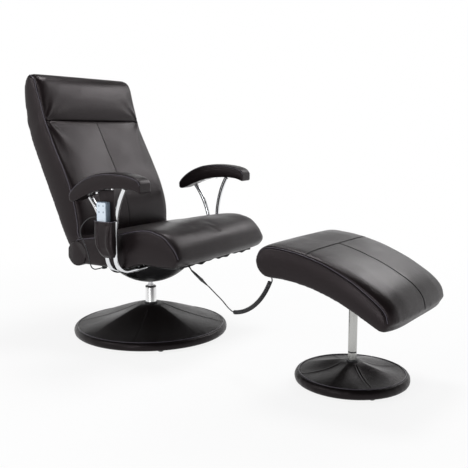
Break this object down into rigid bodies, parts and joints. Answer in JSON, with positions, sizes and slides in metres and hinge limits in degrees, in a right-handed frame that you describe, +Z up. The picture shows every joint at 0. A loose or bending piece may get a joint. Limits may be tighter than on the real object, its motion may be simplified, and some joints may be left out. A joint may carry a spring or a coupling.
{
  "type": "reflexology chair with footstool",
  "caption": "Padded swivel recliner for reflexology with bent-tube armrests, a pocketed hand controller and a matching swivel footstool joined by a curly cord.",
  "frame": {"origin": "floor level under the middle of the whole set, chair and footstool, measured without the loose cords", "axes": "+Z up, -Y the way the sitter faces (the footstool's side), +X the sitter's left"},
  "size_m": [0.7261, 1.5206, 1.0026],
  "materials": {
    "cushion_leather": "semi-gloss coated leather over foam",
    "sheet_leather": "semi-gloss coated leather",
    "plywood": "raw",
    "black_steel": "satin",
    "chrome": "polished",
    "black_plastic": "matte",
    "motor_case": "matte",
    "cord": "satin",
    "controller_body": "satin",
    "controller_face": "satin",
    "button": "satin"
  },
  "bodies": {
    "stand": {"chair_base_board": "plywood", "chair_base_legs": "black_steel", "chair_base_cover": "sheet_leather", "chair_base_rim": "sheet_leather", "base_glides": "black_plastic", "chair_column_collar": "black_plastic", "chair_column": "chrome", "chair_column_bush": "black_plastic", "stool_base_board": "plywood", "stool_base_legs": "black_steel", "stool_base_cover": "sheet_leather", "stool_base_rim": "sheet_leather", "stool_column_collar": "black_plastic", "stool_post": "chrome", "stool_washer": "black_plastic"},
    "seat": {"seat_spindle": "chrome", "swivel_pan": "black_steel", "swivel_bracket": "black_steel", "underseat_bolts": "chrome", "seat_board": "plywood", "seat_cushion": "cushion_leather", "seat_motors": "motor_case", "recline_brackets": "black_steel", "control_box": "black_plastic", "cord_gland": "black_plastic", "right_front_leg": "chrome", "right_rear_leg": "chrome", "right_arm_pad": "cushion_leather", "left_front_leg": "chrome", "left_rear_leg": "chrome", "left_arm_pad": "cushion_leather", "arm_straps": "chrome", "leg_plates": "black_steel", "pad_screws": "chrome", "controller_pocket": "sheet_leather", "controller_cord": "cord", "link_pigtail": "cord", "link_socket": "black_plastic"},
    "back": {"back_cushion": "cushion_leather", "headrest": "cushion_leather", "back_frame": "black_steel", "recline_shaft": "chrome", "back_motors": "motor_case"},
    "knob": {"recline_knob": "black_plastic"},
    "controller": {"controller_case": "controller_body", "controller_face": "controller_face"},
    "power_key": {"power_button": "button"},
    "heat_key": {"heat_button": "button"},
    "mode_key": {"mode_button": "button"},
    "strength_key": {"strength_button": "button"},
    "stool_top": {"stool_column": "chrome", "stool_bracket": "black_steel", "stool_board": "plywood", "stool_cushion": "cushion_leather", "stool_motor": "motor_case", "stool_cord_gland": "black_plastic", "link_plug": "black_plastic", "link_lead": "cord", "curly_cord": "cord"}
  },
  "joints": [
    {"name": "seat_swivel", "type": "hinge", "parent": "stand", "child": "seat", "pos_m": [0, 0.384, 0.2], "axis": [0, 0, 1], "continuous": true},
    {"name": "back_recline", "type": "hinge", "parent": "seat", "child": "back", "pos_m": [0, 0.489, 0.348], "axis": [-1, 0, 0], "range_deg": [0, 30]},
    {"name": "knob_turn", "type": "hinge", "parent": "back", "child": "knob", "pos_m": [0.2833, 0.489, 0.348], "axis": [1, 0, 0], "continuous": true},
    {"name": "controller_lift", "type": "slide", "parent": "seat", "child": "controller", "axis": [0, 0, 1], "range_m": [0, 0.03]},
    {"name": "power_button_press", "type": "slide", "parent": "controller", "child": "power_key", "axis": [1, 0, 0], "range_m": [0, 0.0008], "stiffness_N_per_m": 800},
    {"name": "heat_button_press", "type": "slide", "parent": "controller", "child": "heat_key", "axis": [1, 0, 0], "range_m": [0, 0.0008], "stiffness_N_per_m": 800},
    {"name": "mode_button_press", "type": "slide", "parent": "controller", "child": "mode_key", "axis": [1, 0, 0], "range_m": [0, 0.0008], "stiffness_N_per_m": 800},
    {"name": "strength_button_press", "type": "slide", "parent": "controller", "child": "strength_key", "axis": [1, 0, 0], "range_m": [0, 0.0008], "stiffness_N_per_m": 800},
    {"name": "stool_swivel", "type": "hinge", "parent": "stand", "child": "stool_top", "pos_m": [-0.129, -0.52, 0.1], "axis": [0, 0, 1], "continuous": true}
  ]
}
